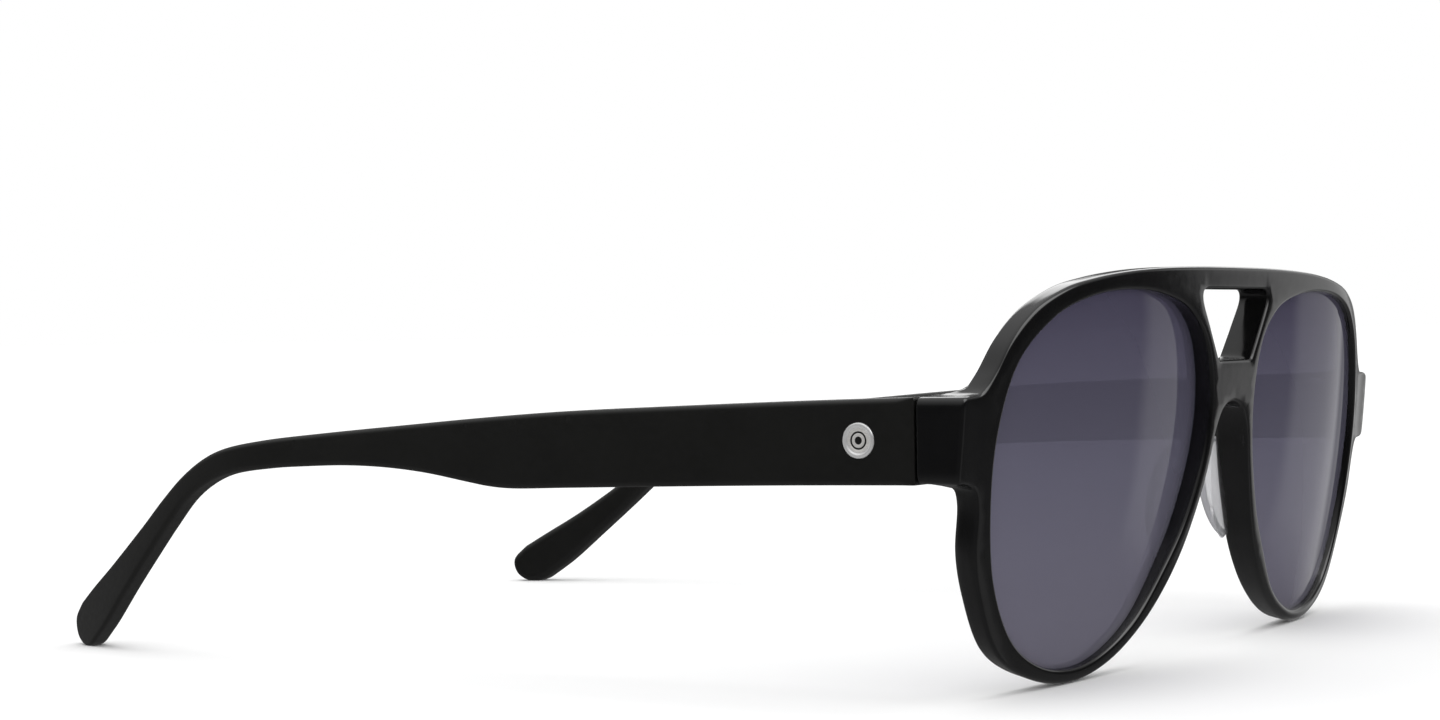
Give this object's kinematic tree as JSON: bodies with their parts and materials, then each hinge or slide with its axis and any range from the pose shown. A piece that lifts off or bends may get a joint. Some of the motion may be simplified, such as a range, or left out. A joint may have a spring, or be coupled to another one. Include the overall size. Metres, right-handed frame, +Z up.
{
  "type": "aviator sunglasses",
  "caption": "Plastic aviator sunglasses with a double-bar front, smoke lenses and hinged temples, standing open on rims and temple tips.",
  "frame": {"origin": "on the table under the middle of the pair's box, which stands open on its rim bottoms and temple tips", "axes": "+Z up, +X to the wearer's left, +Y back along the temples; the lenses look towards -Y"},
  "size_m": [0.1384, 0.153, 0.0501],
  "materials": {
    "acetate": "polished black",
    "temple_acetate": "satin black",
    "smoke_lens": "smoke tint",
    "clear_pad": "clear, polished",
    "hinge_steel": "satin",
    "screw_steel": "polished",
    "wire_steel": "drawn",
    "plaque": "brushed with a bright rim"
  },
  "bodies": {
    "front": {"front_frame": "acetate", "lens_left": "smoke_lens", "lens_right": "smoke_lens", "nose_pad_left": "clear_pad", "nose_pad_right": "clear_pad", "front_hinge_left": "hinge_steel", "front_hinge_right": "hinge_steel", "hinge_screw_left": "screw_steel", "hinge_screw_right": "screw_steel"},
    "left_temple": {"temple_left": "temple_acetate", "temple_hinge_left": "hinge_steel", "core_wire_left": "wire_steel", "temple_plaque_left": "plaque"},
    "right_temple": {"temple_right": "temple_acetate", "temple_hinge_right": "hinge_steel", "core_wire_right": "wire_steel", "temple_plaque_right": "plaque"}
  },
  "joints": [
    {"name": "left_temple_fold", "type": "hinge", "parent": "front", "child": "left_temple", "pos_m": [0.0635, -0.06448, 0.03], "axis": [0, 0, 1], "range_deg": [0, 87]},
    {"name": "right_temple_fold", "type": "hinge", "parent": "front", "child": "right_temple", "pos_m": [-0.0635, -0.06448, 0.03], "axis": [0, 0, -1], "range_deg": [0, 70]}
  ]
}
